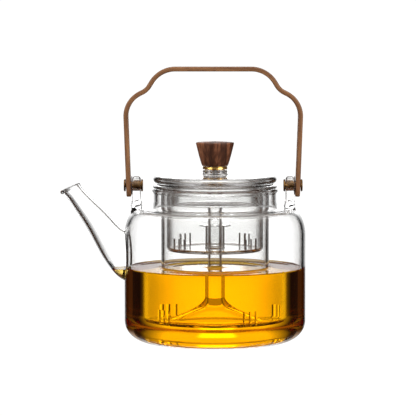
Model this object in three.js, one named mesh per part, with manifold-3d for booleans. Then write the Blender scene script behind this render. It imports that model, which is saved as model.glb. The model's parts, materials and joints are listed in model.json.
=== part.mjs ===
// A glass teapot for steaming and boiling tea, about one litre, with a bail handle.
//
// The pot is a round glass body with a spout and two ears welded to its shoulder. A tall glass liner hangs
// in its mouth. The liner's floor rises in a cone to a central tube, so boiling tea climbs the tube and
// sprays on the leaves in the shallow basket that hangs in the liner. The lid's plug closes the basket.
// A bent wooden strip is the bail. It turns on two hollow brass posts that pass through the ears.
//
// Units are millimetres. +Z is up, the spout points along -X, and the bail turns about an axis along X.
// The origin is the centre of the flat base.

import * as THREE from "three";
import { mergeVertices } from "three/addons/utils/BufferGeometryUtils.js";
import Module from "manifold-3d";

const wasm = await Module();
wasm.setup();

// ---- Driving dimensions ----

const GAP = 0.3; // between pieces that rest on or are welded to each other
const ROUND = 40; // sides of the large round pieces
const SMALL_ROUND = 24; // sides of tubes, screws and washers
const ARC_STEPS = 2; // fineness of rounded corners: a quarter turn gets twice as many faces

const body = {
  radius: 65.6, // outside of the wall
  wall: 2.6,
  floor: 3,
  baseWide: 18, // the wall turns into the base over a quarter ellipse
  baseTall: 15,
  shoulderWide: 12, // the shoulder turns over a quarter ellipse
  shoulderTall: 20,
  shoulderZ: 96.5, // top of the shoulder
  neckRadius: 44.4,
  neckWall: 2.5,
  neckFillet: 5,
  rimZ: 110.8,
  bead: 1.8, // radius of the rounded rim
};

const liner = {
  radius: 39.2,
  wall: 2,
  bottomZ: 14.3,
  floor: 2,
  corner: 3,
  flangeRadius: 44.8,
  flange: 2,
  floorHole: 29.7, // radius where the floor meets the cone
  slitTop: 25.5,
  slitTurns: [-55, 35, 125, 215], // degrees from +X to the middle of each group of slits
  slitPitch: 6.4,
};

const column = {
  radius: 5.25, // outside of the central tube
  wall: 1.5,
  coneTopZ: 29.3,
  topZ: 98.2,
};

const basket = {
  radius: 35,
  wall: 2,
  bottomZ: 65.7,
  floor: 2,
  corner: 3,
  flangeRadius: 42.5,
  flange: 1.2,
  slitTop: 76,
  slitTurns: [-43, 47, 133, 223],
  slitPitch: 8.5,
};

const sleeve = {
  radius: 7,
  wall: 1.1,
  topZ: 85,
  flangeRadius: 11.3,
  flange: 1.2,
};

const slit = { count: 3, width: 1.2, floorReach: 4.5 };

const lid = {
  radius: 44.6,
  edge: 5, // height of the rounded edge
  plate: 3,
  crown: 1, // how much the top rises to the middle
  plugRadius: 32,
  plugWall: 2.5,
  plugDepth: 16.3,
  bossRadius: 8.8,
  bossFoot: 11.4,
  bossTopZ: 124.3,
  hole: 2.6,
};

const knob = { bottomRadius: 9.4, topRadius: 13.8, height: 17.1 };
const collar = { radius: 8.9, height: 2.2 };
const knobScrew = { shank: 1.9, head: 3.6, headHeight: 2.2, top: 137 };

const bail = {
  shift: -1.3, // the hand-set ears and bail stand this far towards the spout
  width: 13, // along Y
  thickness: 3.4,
  footZ: 104.8,
  footX: 60.9,
  footCorner: 5,
  holeRadius: 3.2,
};

// Corners of the bail's middle line above the foot, each with the radius that it is bent to.
const bailCorners = [
  { x: 63.4, z: 174.1, bend: 18 },
  { x: 47.9, z: 181.8, bend: 12.5 },
  { x: 38.7, z: 197, bend: 20 },
];

const pivotZ = 113;

const ear = {
  inner: 52.4, // distance of its inner face from the bail's middle
  thickness: 6,
  width: 13,
  footTopZ: 101,
  footSpread: 1.45, // how much wider the foot is at its bottom
  hole: 4,
};

const bush = { outer: 3.7, inner: 2.97 }; // the post turns in it with a running clearance
const post = { radius: 2.9, head: 4.4, headHeight: 1.3, bore: 1.6, boreDepth: 9 };
const pivotScrew = { shank: 1.3, shankLength: 7.5, head: 4.4, headHeight: 1.3 };
const spacer = { radius: 6.6, thickness: 0.4, hole: 3.2 };

const spout = {
  wall: 2,
  // Middle line from inside the body to the mouth: place, outer radius across and along the slope.
  stations: [
    { x: -57, z: 60.5, across: 15.5, along: 19, lean: 78 },
    { x: -64.5, z: 62.8, across: 14.2, along: 17.3, lean: 74 },
    { x: -70.5, z: 67.4, across: 12.5, along: 14.2, lean: 62 },
    { x: -76.8, z: 75.2, across: 10.8, along: 11.3, lean: 46 },
    { x: -85.3, z: 87.4, across: 9.2, along: 9.2, lean: 39 },
    { x: -95.3, z: 99.8, across: 7.5, along: 7.4, lean: 34 },
    { x: -102.4, z: 108.4, across: 6.5, along: 6.5, lean: 30 },
    { x: -107.6, z: 113.8, across: 6.9, along: 7.6, lean: 26 },
  ],
  mouth: { x: -104.3, z: 110.9, lean: 25 }, // the plane that the mouth is cut to
};

// Heights that follow from the ones above.
const linerFlangeZ = body.rimZ + GAP;
const basketFlangeZ = linerFlangeZ + liner.flange + GAP;
const lidZ = basketFlangeZ + basket.flange + GAP;
const lidTopZ = lidZ + lid.edge;
const collarZ = lid.bossTopZ + GAP;
const knobZ = collarZ + collar.height + GAP;

// ---- Materials ----

const material = {
  glass: new THREE.MeshStandardMaterial({ color: 0xe6ecec, roughness: 0.03, metalness: 0 }),
  bentWood: new THREE.MeshStandardMaterial({ color: 0x8b5a3a, roughness: 0.5, metalness: 0 }),
  walnut: new THREE.MeshStandardMaterial({ color: 0x4a2a1a, roughness: 0.4, metalness: 0 }),
  brass: new THREE.MeshStandardMaterial({ color: 0xc9962e, roughness: 0.2, metalness: 1 }),
  steel: new THREE.MeshStandardMaterial({ color: 0xb9bcc0, roughness: 0.3, metalness: 1 }),
  silicone: new THREE.MeshStandardMaterial({ color: 0xe8e6e0, roughness: 0.6, metalness: 0 }),
  leather: new THREE.MeshStandardMaterial({ color: 0x5f3c2e, roughness: 0.7, metalness: 0 }),
};

// ---- Shape helpers ----

// A closed geometry as a solid that can be joined and cut.
function solid(geometry) {
  const bare = geometry.clone();
  bare.deleteAttribute("normal");
  bare.deleteAttribute("uv");
  const merged = mergeVertices(bare, 1e-4);
  return new wasm.Manifold(
    new wasm.Mesh({
      numProp: 3,
      vertProperties: new Float32Array(merged.attributes.position.array),
      triVerts: new Uint32Array(merged.index.array),
    }),
  );
}

function geometryOf(manifold) {
  const { vertProperties, triVerts } = manifold.getMesh();
  const geometry = new THREE.BufferGeometry();
  geometry.setAttribute("position", new THREE.BufferAttribute(vertProperties, 3));
  geometry.setIndex(new THREE.BufferAttribute(triVerts, 1));
  geometry.computeVertexNormals();
  return geometry;
}

// A round solid about Z from an outline in (radius, height), drawn anticlockwise.
// The outline starts and ends on the axis, or it is closed here.
function turned(path, sides = ROUND, steps = ARC_STEPS) {
  const points = path.getPoints(steps);
  const first = points[0];
  const last = points[points.length - 1];
  if (first.x > 0 && !first.equals(last)) points.push(first.clone());
  return solid(new THREE.LatheGeometry(points, sides).rotateX(Math.PI / 2));
}

// The same about X, for posts and screws: the outline's height becomes x.
function turnedAlongX(path, sides = SMALL_ROUND) {
  return turned(path, sides).rotate([0, 90, 0]);
}

function ring(outer, inner, from, to, sides = SMALL_ROUND) {
  const path = new THREE.Path();
  path.moveTo(inner, from).lineTo(outer, from).lineTo(outer, to).lineTo(inner, to);
  return turned(path, sides);
}

function disc(radius, from, to, sides = SMALL_ROUND) {
  const path = new THREE.Path();
  path.moveTo(0, from).lineTo(radius, from).lineTo(radius, to).lineTo(0, to);
  return turned(path, sides);
}

function box(width, depth, height, x, y, z) {
  return solid(new THREE.BoxGeometry(width, depth, height).translate(x, y, z));
}

// A flat shape drawn in (x, z), given a depth along Y and centred on y = 0.
function slab(shape, depth, curveSteps = 6) {
  const geometry = new THREE.ExtrudeGeometry(shape, {
    depth,
    bevelEnabled: false,
    curveSegments: curveSteps,
  });
  return solid(geometry.translate(0, 0, -depth / 2).rotateX(Math.PI / 2));
}

const root = new THREE.Group();

function part(name, shape, look) {
  const mesh = new THREE.Mesh(geometryOf(shape), look);
  mesh.name = name;
  root.add(mesh);
  return mesh;
}

// ---- Pot ----

const QUARTER = Math.PI / 2;

// The body's outer surface as a filled solid, grown by a margin. The neck is filled as well.
function bodyFilled(margin) {
  const r = body.radius;
  const path = new THREE.Path();
  path.moveTo(0, -margin);
  path.lineTo(r - body.baseWide, -margin);
  path.absellipse(
    r - body.baseWide,
    body.baseTall,
    body.baseWide + margin,
    body.baseTall + margin,
    -QUARTER,
    0,
    false,
  );
  path.absellipse(
    r - body.shoulderWide,
    body.shoulderZ - body.shoulderTall,
    body.shoulderWide + margin,
    body.shoulderTall + margin,
    0,
    QUARTER,
    false,
  );
  path.lineTo(body.neckRadius + body.neckFillet, body.shoulderZ + margin);
  path.lineTo(body.neckRadius + margin, body.shoulderZ + body.neckFillet);
  path.lineTo(body.neckRadius + margin, body.rimZ);
  path.lineTo(0, body.rimZ);
  return turned(path);
}

function bodyShell() {
  const r = body.radius;
  const w = body.wall;
  const cornerX = r - body.baseWide;
  const shoulderX = r - body.shoulderWide;
  const shoulderLow = body.shoulderZ - body.shoulderTall;
  const filletX = body.neckRadius + body.neckFillet;
  const filletZ = body.shoulderZ + body.neckFillet;
  const beadZ = body.rimZ - body.bead;
  const beadX = body.neckRadius - body.neckWall + body.bead;
  const innerNeck = body.neckRadius - body.neckWall;
  const path = new THREE.Path();
  path.moveTo(0, 0);
  path.lineTo(cornerX, 0);
  path.absellipse(cornerX, body.baseTall, body.baseWide, body.baseTall, -QUARTER, 0, false);
  path.absellipse(shoulderX, shoulderLow, body.shoulderWide, body.shoulderTall, 0, QUARTER, false);
  path.absarc(filletX, filletZ, body.neckFillet, -QUARTER, -2 * QUARTER, true);
  path.lineTo(body.neckRadius, beadZ - body.bead);
  path.absarc(beadX, beadZ, body.bead, 0, 2 * QUARTER, false);
  path.lineTo(innerNeck, filletZ);
  path.absarc(filletX, filletZ, filletX - innerNeck, 2 * QUARTER, 3 * QUARTER, false);
  path.absellipse(
    shoulderX,
    shoulderLow,
    body.shoulderWide - w,
    body.shoulderTall - w,
    QUARTER,
    0,
    true,
  );
  path.absellipse(
    cornerX,
    body.baseTall,
    body.baseWide - w,
    body.baseTall - body.floor,
    0,
    -QUARTER,
    true,
  );
  path.lineTo(0, body.floor);
  return turned(path);
}

// A filled tube through the spout's stations, thinner than the outside by an inset.
function spoutFilled(inset, sides = 20) {
  const rings = spout.stations.map((s) => {
    const lean = THREE.MathUtils.degToRad(s.lean);
    const slope = new THREE.Vector3(Math.cos(lean), 0, Math.sin(lean)); // across the tube, in the XZ plane
    return Array.from({ length: sides }, (_, i) => {
      const turn = (2 * Math.PI * i) / sides;
      return new THREE.Vector3(s.x, 0, s.z)
        .addScaledVector(slope, (s.along - inset) * Math.cos(turn))
        .add(new THREE.Vector3(0, (s.across - inset) * Math.sin(turn), 0));
    });
  });
  const points = rings.flat();
  const index = [];
  for (let k = 0; k + 1 < rings.length; k++)
    for (let i = 0; i < sides; i++) {
      const a = k * sides + i;
      const b = k * sides + ((i + 1) % sides);
      index.push(a, b, a + sides, b, b + sides, a + sides);
    }
  for (let i = 1; i + 1 < sides; i++) {
    const end = (rings.length - 1) * sides;
    index.push(0, i + 1, i, end, end + i, end + i + 1);
  }
  const geometry = new THREE.BufferGeometry().setFromPoints(points);
  geometry.setIndex(index);
  return solid(geometry);
}

// Everything beyond the plane that the mouth is cut to.
function beyondMouth() {
  const size = 60;
  const { x, z, lean } = spout.mouth;
  return solid(
    new THREE.BoxGeometry(size, size, size)
      .translate(0, 0, size / 2)
      .rotateY(THREE.MathUtils.degToRad(-lean))
      .translate(x, 0, z),
  );
}

part("glass_body", bodyShell().subtract(spoutFilled(spout.wall)), material.glass);
part(
  "spout",
  spoutFilled(0).subtract(spoutFilled(spout.wall)).subtract(beyondMouth()).subtract(bodyFilled(GAP)),
  material.glass,
);

// ---- Ears and pivots, one set for each side ----

function earSolid() {
  const half = ear.width / 2;
  const foot = body.shoulderZ - 12; // well inside the shoulder, which then cuts it
  const outline = new THREE.Shape();
  outline.moveTo(-half, foot);
  outline.lineTo(half, foot);
  outline.lineTo(half, pivotZ);
  outline.absarc(0, pivotZ, half, 0, Math.PI, false);
  const hole = new THREE.Path();
  hole.absarc(0, pivotZ, ear.hole, 0, 2 * Math.PI, true);
  outline.holes.push(hole);
  const tongue = slab(outline, ear.thickness, 10).rotate([0, 0, 90]);
  const spread = new THREE.CylinderGeometry(1, ear.footSpread, ear.footTopZ - foot, SMALL_ROUND)
    .rotateX(QUARTER)
    .scale(ear.thickness / 2, half, 1)
    .translate(0, 0, (ear.footTopZ + foot) / 2);
  return tongue.add(solid(spread));
}

function bushSolid() {
  return ring(bush.outer, bush.inner, -ear.thickness / 2, ear.thickness / 2).rotate([0, 90, 0]);
}

// Drawn with the head's face at x = 0, the barrel growing along +X.
function postSolid(length) {
  const path = new THREE.Path();
  path.moveTo(0, 0).lineTo(post.head, 0).lineTo(post.head, post.headHeight);
  path.lineTo(post.radius, post.headHeight).lineTo(post.radius, length);
  path.lineTo(post.bore, length).lineTo(post.bore, length - post.boreDepth);
  path.lineTo(0, length - post.boreDepth);
  return turnedAlongX(path);
}

// Drawn with the head's outer face at x = 0, the shank growing along -X.
function pivotScrewSolid() {
  const { head, headHeight, shank, shankLength } = pivotScrew;
  const path = new THREE.Path();
  path.moveTo(0, -headHeight - shankLength).lineTo(shank, -headHeight - shankLength);
  path.lineTo(shank, -headHeight).lineTo(head, -headHeight);
  path.lineTo(head, -0.5).lineTo(head - 0.5, 0).lineTo(0, 0);
  const slot = box(1, 1, 2 * head, 0, 0, 0);
  return turnedAlongX(path).subtract(slot);
}

const earOuter = ear.inner + ear.thickness;
const legSlope = (bailCorners[0].x - bail.footX) / (bailCorners[0].z - bail.footZ);
const legAtPivot = bail.footX + legSlope * (pivotZ - bail.footZ);
const screwFace = legAtPivot + bail.thickness / 2 + 0.45;
const postFace = ear.inner - GAP - post.headHeight;
const postLength = screwFace - GAP - postFace;

for (const [side, turn] of [
  ["right", 0],
  ["left", 180],
]) {
  const away = turn === 0 ? 1 : -1;
  // Puts a piece drawn along +X at a distance from the bail's middle, on this side.
  const place = (shape, distance, height = pivotZ) =>
    shape.rotate([0, 0, turn]).translate([bail.shift + away * distance, 0, height]);
  const earBlank = place(earSolid(), ear.inner + ear.thickness / 2, 0);
  part(`ear_${side}`, earBlank.subtract(bodyFilled(GAP)), material.glass);
  part(`ear_bush_${side}`, place(bushSolid(), ear.inner + ear.thickness / 2), material.brass);
  part(`pivot_post_${side}`, place(postSolid(postLength), postFace), material.brass);
  part(
    `pivot_screw_${side}`,
    place(pivotScrewSolid(), screwFace + pivotScrew.headHeight),
    material.brass,
  );
  const washer = ring(spacer.radius, spacer.hole, 0, spacer.thickness).rotate([0, 90, 0]);
  part(`spacer_${side}`, place(washer, earOuter + GAP), material.leather);
}

// ---- Bail ----

// The bail's outline on one side of its middle line, from the foot to the middle of the top.
function bentLine(shape, offset, mirror) {
  const foot = { x: bail.footX, z: bail.footZ };
  const top = { x: 0, z: bailCorners.at(-1).z };
  const line = [foot, ...bailCorners, top].map((p) => new THREE.Vector2(p.x, p.z));
  const points = [];
  const direction = (k) => line[k + 1].clone().sub(line[k]).normalize();
  const outward = (d) => new THREE.Vector2(d.y, -d.x).multiplyScalar(offset);
  points.push(line[0].clone().add(outward(direction(0))));
  for (let k = 1; k + 1 < line.length; k++) {
    const before = direction(k - 1);
    const after = direction(k);
    const turn = before.cross(after) > 0 ? 1 : -1;
    const angle = Math.acos(before.dot(after));
    const bend = bailCorners[k - 1].bend;
    const start = line[k].clone().addScaledVector(before, -bend * Math.tan(angle / 2));
    const centre = start.clone().addScaledVector(new THREE.Vector2(-before.y, before.x), turn * bend);
    const steps = 7;
    for (let i = 0; i <= steps; i++) {
      const spoke = start.clone().sub(centre).rotateAround(new THREE.Vector2(), (turn * angle * i) / steps);
      points.push(centre.clone().addScaledVector(spoke, (bend + turn * offset) / bend));
    }
  }
  if (mirror) points.reverse().forEach((p) => p.setX(-p.x));
  points.forEach((p) => (shape.currentPoint.length() ? shape.lineTo(p.x, p.y) : shape.moveTo(p.x, p.y)));
}

function bailSolid() {
  const outline = new THREE.Shape();
  const half = bail.thickness / 2;
  bentLine(outline, half, false);
  bentLine(outline, half, true);
  const inner = new THREE.Shape();
  bentLine(inner, -half, false);
  bentLine(inner, -half, true);
  inner.getPoints().reverse().forEach((p) => outline.lineTo(p.x, p.y));
  const strip = slab(outline, bail.width);
  // Seen from the side, the strip is a long tongue with rounded feet.
  const tongue = new THREE.Shape();
  const edge = bail.width / 2 - 0.01;
  const cornerY = edge - bail.footCorner;
  const cornerZ = bail.footZ + bail.footCorner;
  tongue.moveTo(-cornerY, bail.footZ);
  tongue.lineTo(cornerY, bail.footZ);
  tongue.absarc(cornerY, cornerZ, bail.footCorner, -QUARTER, 0, false);
  tongue.lineTo(edge, 250);
  tongue.lineTo(-edge, 250);
  tongue.absarc(-cornerY, cornerZ, bail.footCorner, Math.PI, 3 * QUARTER, false);
  const envelope = slab(tongue, 200).rotate([0, 0, 90]);
  const holes = disc(bail.holeRadius, -100, 100).rotate([0, 90, 0]).translate([0, 0, pivotZ]);
  return strip.intersect(envelope).subtract(holes).translate([bail.shift, 0, 0]);
}

part("bail", bailSolid(), material.bentWood);

// ---- Liner and its steam column ----

// The thin slits that let tea through: groups of upright cuts that run round the cup's bottom corner.
function slits(cup) {
  const cuts = [];
  const inner = cup.radius - cup.wall - slit.floorReach;
  const length = cup.radius + 1 - inner;
  const low = cup.bottomZ - 1;
  for (const middle of cup.slitTurns)
    for (let i = 0; i < slit.count; i++) {
      const turn = middle + (i - (slit.count - 1) / 2) * cup.slitPitch;
      const cut = box(length, slit.width, cup.slitTop - low, inner + length / 2, 0, (low + cup.slitTop) / 2);
      cuts.push(cut.rotate([0, 0, turn]));
    }
  return cuts.reduce((all, cut) => all.add(cut));
}

// A cup that hangs by a flange, with a round hole in its floor.
function hangingCup(cup, flangeZ, floorHole) {
  const { radius, wall, floor, corner, bottomZ } = cup;
  const flangeTop = flangeZ + cup.flange;
  const edge = cup.flange / 2;
  const path = new THREE.Path();
  path.moveTo(floorHole, bottomZ);
  path.lineTo(radius - corner, bottomZ);
  path.absarc(radius - corner, bottomZ + corner, corner, -QUARTER, 0, false);
  path.lineTo(radius, flangeZ);
  path.lineTo(cup.flangeRadius - edge, flangeZ);
  path.absarc(cup.flangeRadius - edge, flangeZ + edge, edge, -QUARTER, QUARTER, false);
  path.lineTo(radius, flangeTop);
  path.absarc(radius, flangeTop - wall, wall, QUARTER, 2 * QUARTER, false);
  path.absarc(radius - corner, bottomZ + corner, corner - wall, 0, -QUARTER, true);
  path.lineTo(floorHole, bottomZ + floor);
  return turned(path).subtract(slits(cup));
}

part("liner_cup", hangingCup(liner, linerFlangeZ, liner.floorHole), material.glass);

function columnSolid() {
  const foot = liner.floorHole - GAP;
  const { radius, wall, coneTopZ, topZ } = column;
  const coneFloor = liner.bottomZ + liner.floor;
  const bore = radius - wall;
  const path = new THREE.Path();
  path.moveTo(bore, coneTopZ - 1.5);
  path.lineTo(foot - 3, liner.bottomZ);
  path.lineTo(foot, liner.bottomZ);
  path.lineTo(foot, coneFloor);
  path.lineTo(foot - 2, coneFloor);
  path.quadraticCurveTo(16, 23.5, radius + 2, coneTopZ - 1);
  path.quadraticCurveTo(radius, coneTopZ, radius, coneTopZ + 2);
  path.lineTo(radius, topZ - wall / 2);
  path.absarc(radius - wall / 2, topZ - wall / 2, wall / 2, 0, Math.PI, false);
  return turned(path, SMALL_ROUND);
}

part("steam_column", columnSolid(), material.glass);

// ---- Basket and its sleeve ----

part("basket_cup", hangingCup(basket, basketFlangeZ, sleeve.radius + GAP), material.glass);

function sleeveSolid() {
  const { radius, wall, topZ, flangeRadius, flange } = sleeve;
  const path = new THREE.Path();
  path.moveTo(radius - wall, basket.bottomZ);
  path.lineTo(radius, basket.bottomZ);
  path.lineTo(radius, topZ - flange);
  path.lineTo(flangeRadius - flange / 2, topZ - flange);
  path.absarc(flangeRadius - flange / 2, topZ - flange / 2, flange / 2, -QUARTER, QUARTER, false);
  path.lineTo(radius - wall, topZ);
  return turned(path, SMALL_ROUND);
}

part("basket_sleeve", sleeveSolid(), material.glass);

// ---- Lid ----

function lidSolid() {
  const { radius, edge, plate, plugRadius, plugWall, plugDepth, hole, bossRadius, bossFoot } = lid;
  const half = edge / 2;
  const underside = lidTopZ + lid.crown - plate;
  const plugZ = lidZ - plugDepth;
  const recessZ = lid.bossTopZ - plate + 0.3;
  const path = new THREE.Path();
  path.moveTo(hole, recessZ);
  path.lineTo(bossRadius - 3, recessZ);
  path.lineTo(bossRadius - 2, underside);
  path.lineTo(plugRadius - plugWall - 2.5, underside - 0.6);
  path.quadraticCurveTo(plugRadius - plugWall, underside - 0.6, plugRadius - plugWall, underside - 3.4);
  path.lineTo(plugRadius - plugWall, plugZ + plugWall / 2);
  path.absarc(plugRadius - plugWall / 2, plugZ + plugWall / 2, plugWall / 2, Math.PI, 2 * Math.PI, false);
  path.lineTo(plugRadius, lidZ);
  path.lineTo(radius - half, lidZ);
  path.absarc(radius - half, lidZ + half, half, -QUARTER, QUARTER, false);
  path.quadraticCurveTo(bossFoot + 10, lidTopZ + lid.crown, bossFoot, lidTopZ + lid.crown);
  path.quadraticCurveTo(bossRadius, lidTopZ + lid.crown + 0.3, bossRadius, lid.bossTopZ - 0.8);
  path.lineTo(bossRadius - 0.8, lid.bossTopZ);
  path.lineTo(hole, lid.bossTopZ);
  return turned(path);
}

function knobSolid() {
  const topZ = knobZ + knob.height;
  const bore = knobScrew.shank + GAP;
  const path = new THREE.Path();
  path.moveTo(bore, knobZ);
  path.lineTo(knob.bottomRadius, knobZ);
  path.quadraticCurveTo(knob.bottomRadius + 1.1, knobZ + 3, knob.topRadius, topZ - 0.6);
  path.lineTo(knob.topRadius - 0.6, topZ);
  path.lineTo(0, topZ);
  path.lineTo(0, knobScrew.top + GAP);
  path.lineTo(bore, knobScrew.top + GAP);
  return turned(path, 32);
}

function collarSolid() {
  const { radius, height } = collar;
  const hole = knobScrew.shank + GAP;
  const path = new THREE.Path();
  path.moveTo(hole, collarZ).lineTo(radius - 0.4, collarZ).lineTo(radius, collarZ + 0.4);
  path.lineTo(radius, collarZ + height - 0.4).lineTo(radius - 0.4, collarZ + height);
  path.lineTo(hole, collarZ + height);
  return turned(path, 32);
}

// The screw comes up from under the lid through the gasket, the glass and the collar into the knob.
const gasketTop = lid.bossTopZ - lid.plate;
const gasket = { radius: 5, thickness: 1 };
const screwWasher = { radius: 4.5, thickness: 0.8 };
const washerTop = gasketTop - gasket.thickness - GAP;
const screwSeat = washerTop - screwWasher.thickness - GAP;

function knobScrewSolid() {
  const { shank, head, headHeight, top } = knobScrew;
  const bottom = screwSeat - headHeight;
  const path = new THREE.Path();
  path.moveTo(0, bottom).lineTo(head - 0.7, bottom).lineTo(head, bottom + 0.7);
  path.lineTo(head, screwSeat).lineTo(shank, screwSeat).lineTo(shank, top - 0.6);
  path.lineTo(shank - 0.6, top).lineTo(0, top);
  const cross = box(4.4, 0.9, 2, 0, 0, bottom).add(box(0.9, 4.4, 2, 0, 0, bottom));
  return turned(path, SMALL_ROUND).subtract(cross);
}

const screwHole = knobScrew.shank + GAP;
part("lid_glass", lidSolid(), material.glass);
part("knob", knobSolid(), material.walnut);
part("knob_collar", collarSolid(), material.brass);
part("knob_screw", knobScrewSolid(), material.steel);
part(
  "screw_washer",
  ring(screwWasher.radius, screwHole, washerTop - screwWasher.thickness, washerTop),
  material.steel,
);
part("knob_gasket", ring(gasket.radius, screwHole, gasketTop - gasket.thickness, gasketTop), material.silicone);

export default root;
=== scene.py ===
"""Looks of a glass boiling teapot with a bent-wood bail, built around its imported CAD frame.

All lengths are in metres, in the CAD's frame: +Z up, the spout towards -X, the origin under the pot.
"""

import json
import math

import bmesh
import bpy
from mathutils import Matrix, Vector

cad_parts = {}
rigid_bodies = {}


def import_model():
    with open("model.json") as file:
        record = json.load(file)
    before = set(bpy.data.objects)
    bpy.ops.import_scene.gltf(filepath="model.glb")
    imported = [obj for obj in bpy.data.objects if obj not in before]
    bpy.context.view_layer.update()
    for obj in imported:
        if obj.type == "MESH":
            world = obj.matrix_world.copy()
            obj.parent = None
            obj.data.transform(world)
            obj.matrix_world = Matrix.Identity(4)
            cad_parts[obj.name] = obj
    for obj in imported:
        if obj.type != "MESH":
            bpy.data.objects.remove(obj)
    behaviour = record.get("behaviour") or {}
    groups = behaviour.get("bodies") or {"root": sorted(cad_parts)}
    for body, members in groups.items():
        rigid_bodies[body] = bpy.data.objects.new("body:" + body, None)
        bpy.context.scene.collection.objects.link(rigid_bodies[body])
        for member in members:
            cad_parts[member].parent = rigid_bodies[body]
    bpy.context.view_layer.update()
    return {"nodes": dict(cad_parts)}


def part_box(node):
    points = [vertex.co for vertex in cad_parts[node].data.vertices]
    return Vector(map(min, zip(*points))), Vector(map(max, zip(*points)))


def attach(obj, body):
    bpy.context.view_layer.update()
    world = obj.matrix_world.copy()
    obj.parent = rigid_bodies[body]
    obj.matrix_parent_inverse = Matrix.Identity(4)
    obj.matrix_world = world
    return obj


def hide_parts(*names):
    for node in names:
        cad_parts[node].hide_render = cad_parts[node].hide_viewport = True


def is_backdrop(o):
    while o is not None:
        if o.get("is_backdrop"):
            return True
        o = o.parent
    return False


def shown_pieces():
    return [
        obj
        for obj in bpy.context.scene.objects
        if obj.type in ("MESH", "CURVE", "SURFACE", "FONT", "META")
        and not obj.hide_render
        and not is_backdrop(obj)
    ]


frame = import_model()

MM = 0.001
ROUND = 128  # faces round the large turned pieces
SMALL_ROUND = 64
QUARTER = math.pi / 2
LONG_RUN = 2.5 * MM  # a straight run of a profile longer than this gets holding points
HOLD = 0.15 * MM


# ---- Sizes taken from the frame ----


def low(node):
    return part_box(node)[0]


def high(node):
    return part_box(node)[1]


BODY_R = high("glass_body").x
RIM_Z = high("glass_body").z
LINER_Z = low("liner_cup").z
LINER_TOP = high("liner_cup").z
LINER_FLANGE_R = high("liner_cup").x
COLUMN_TOP = high("steam_column").z
BASKET_Z = low("basket_cup").z
BASKET_TOP = high("basket_cup").z
BASKET_FLANGE_R = high("basket_cup").x
SLEEVE_TOP = high("basket_sleeve").z
SLEEVE_FLANGE_R = high("basket_sleeve").x
LID_R = high("lid_glass").x
LID_PLUG_Z = low("lid_glass").z
LID_BOSS_TOP = high("lid_glass").z
LID_Z = BASKET_TOP + 0.3 * MM
KNOB_Z, KNOB_TOP, KNOB_R = low("knob").z, high("knob").z, high("knob").x
COLLAR_Z, COLLAR_TOP, COLLAR_R = low("knob_collar").z, high("knob_collar").z, high("knob_collar").x
BAIL_MIDDLE_X = (low("bail").x + high("bail").x) / 2
BAIL_FOOT_Z, BAIL_TOP_Z = low("bail").z, high("bail").z
BAIL_WIDTH = high("bail").y - low("bail").y
PIVOT_Z = (low("ear_bush_right").z + high("ear_bush_right").z) / 2
EAR_THICK = high("ear_bush_right").x - low("ear_bush_right").x
TEA_Z = 53 * MM


# ---- Mesh helpers ----


def arc(cx, cz, rx, rz, start, end, steps=8):
    """Points of an elliptic arc, angles in quarter turns from +r towards +z."""
    turns = [(start + (end - start) * i / steps) * QUARTER for i in range(steps + 1)]
    return [(cx + rx * math.cos(t), cz + rz * math.sin(t)) for t in turns]


def curve(p0, p1, p2, steps=8):
    """Points of a quadratic curve from p0 to p2 that leaves and arrives towards p1."""
    points = []
    for i in range(steps + 1):
        t = i / steps
        a, b, c = (1 - t) ** 2, 2 * t * (1 - t), t * t
        points.append((a * p0[0] + b * p1[0] + c * p2[0], a * p0[1] + b * p1[1] + c * p2[1]))
    return points


def without_repeats(points):
    kept = []
    for p in points:
        if not kept or math.dist(p, kept[-1]) > 1e-6:
            kept.append(p)
    if math.dist(kept[0], kept[-1]) < 1e-6:
        kept.pop()
    return kept


def with_holding_points(points, closed):
    """Adds a point near each end of a long straight run, so smooth corners do not tilt the light along it."""
    held = []
    for p, q in zip(points, points[1:] + (points[:1] if closed else [])):
        held.append(p)
        length = math.dist(p, q)
        if length > LONG_RUN:
            step = HOLD / length
            held += [(p[0] + (q[0] - p[0]) * t, p[1] + (q[1] - p[1]) * t) for t in (step, 1 - step)]
    return held if closed else held + [points[-1]]


def new_object(name, mesh):
    obj = bpy.data.objects.new(name, mesh)
    bpy.context.scene.collection.objects.link(obj)
    return obj


def finish_mesh(name, bm, smooth_angle=35):
    bmesh.ops.recalc_face_normals(bm, faces=bm.faces)
    mesh = bpy.data.meshes.new(name)
    bm.to_mesh(mesh)
    bm.free()
    mesh.shade_smooth()
    mesh.set_sharp_from_angle(angle=math.radians(smooth_angle))
    return new_object(name, mesh)


def turned(name, profile, sides=ROUND):
    """A round solid about Z. The profile of (radius, height) runs from axis to axis, or closes on itself."""
    points = without_repeats(profile)
    closed = min(points[0][0], points[-1][0]) > 1e-7
    points = with_holding_points(points, closed)
    bm = bmesh.new()
    rings = []
    for r, z in points:
        if r < 1e-7:
            rings.append([bm.verts.new((0, 0, z))])
        else:
            turns = [2 * math.pi * i / sides for i in range(sides)]
            rings.append([bm.verts.new((r * math.cos(t), r * math.sin(t), z)) for t in turns])
    pairs = list(zip(rings, rings[1:])) + ([(rings[-1], rings[0])] if closed else [])
    for a, b in pairs:
        for i in range(sides):
            j = (i + 1) % sides
            corners = [a[i % len(a)], a[j % len(a)], b[j % len(b)], b[i % len(b)]]
            face = list(dict.fromkeys(corners))
            if len(face) > 2:
                bm.faces.new(face)
    return finish_mesh(name, bm)


def turned_along_x(name, profile, x, side):
    """A round solid about the bail's axis: heights of the profile run outwards from x, on that side."""
    obj = turned(name, profile, SMALL_ROUND)
    turn = Matrix.Rotation(side * QUARTER, 4, "Y")
    obj.data.transform(Matrix.Translation((x, 0, PIVOT_Z)) @ turn)
    return obj


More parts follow.
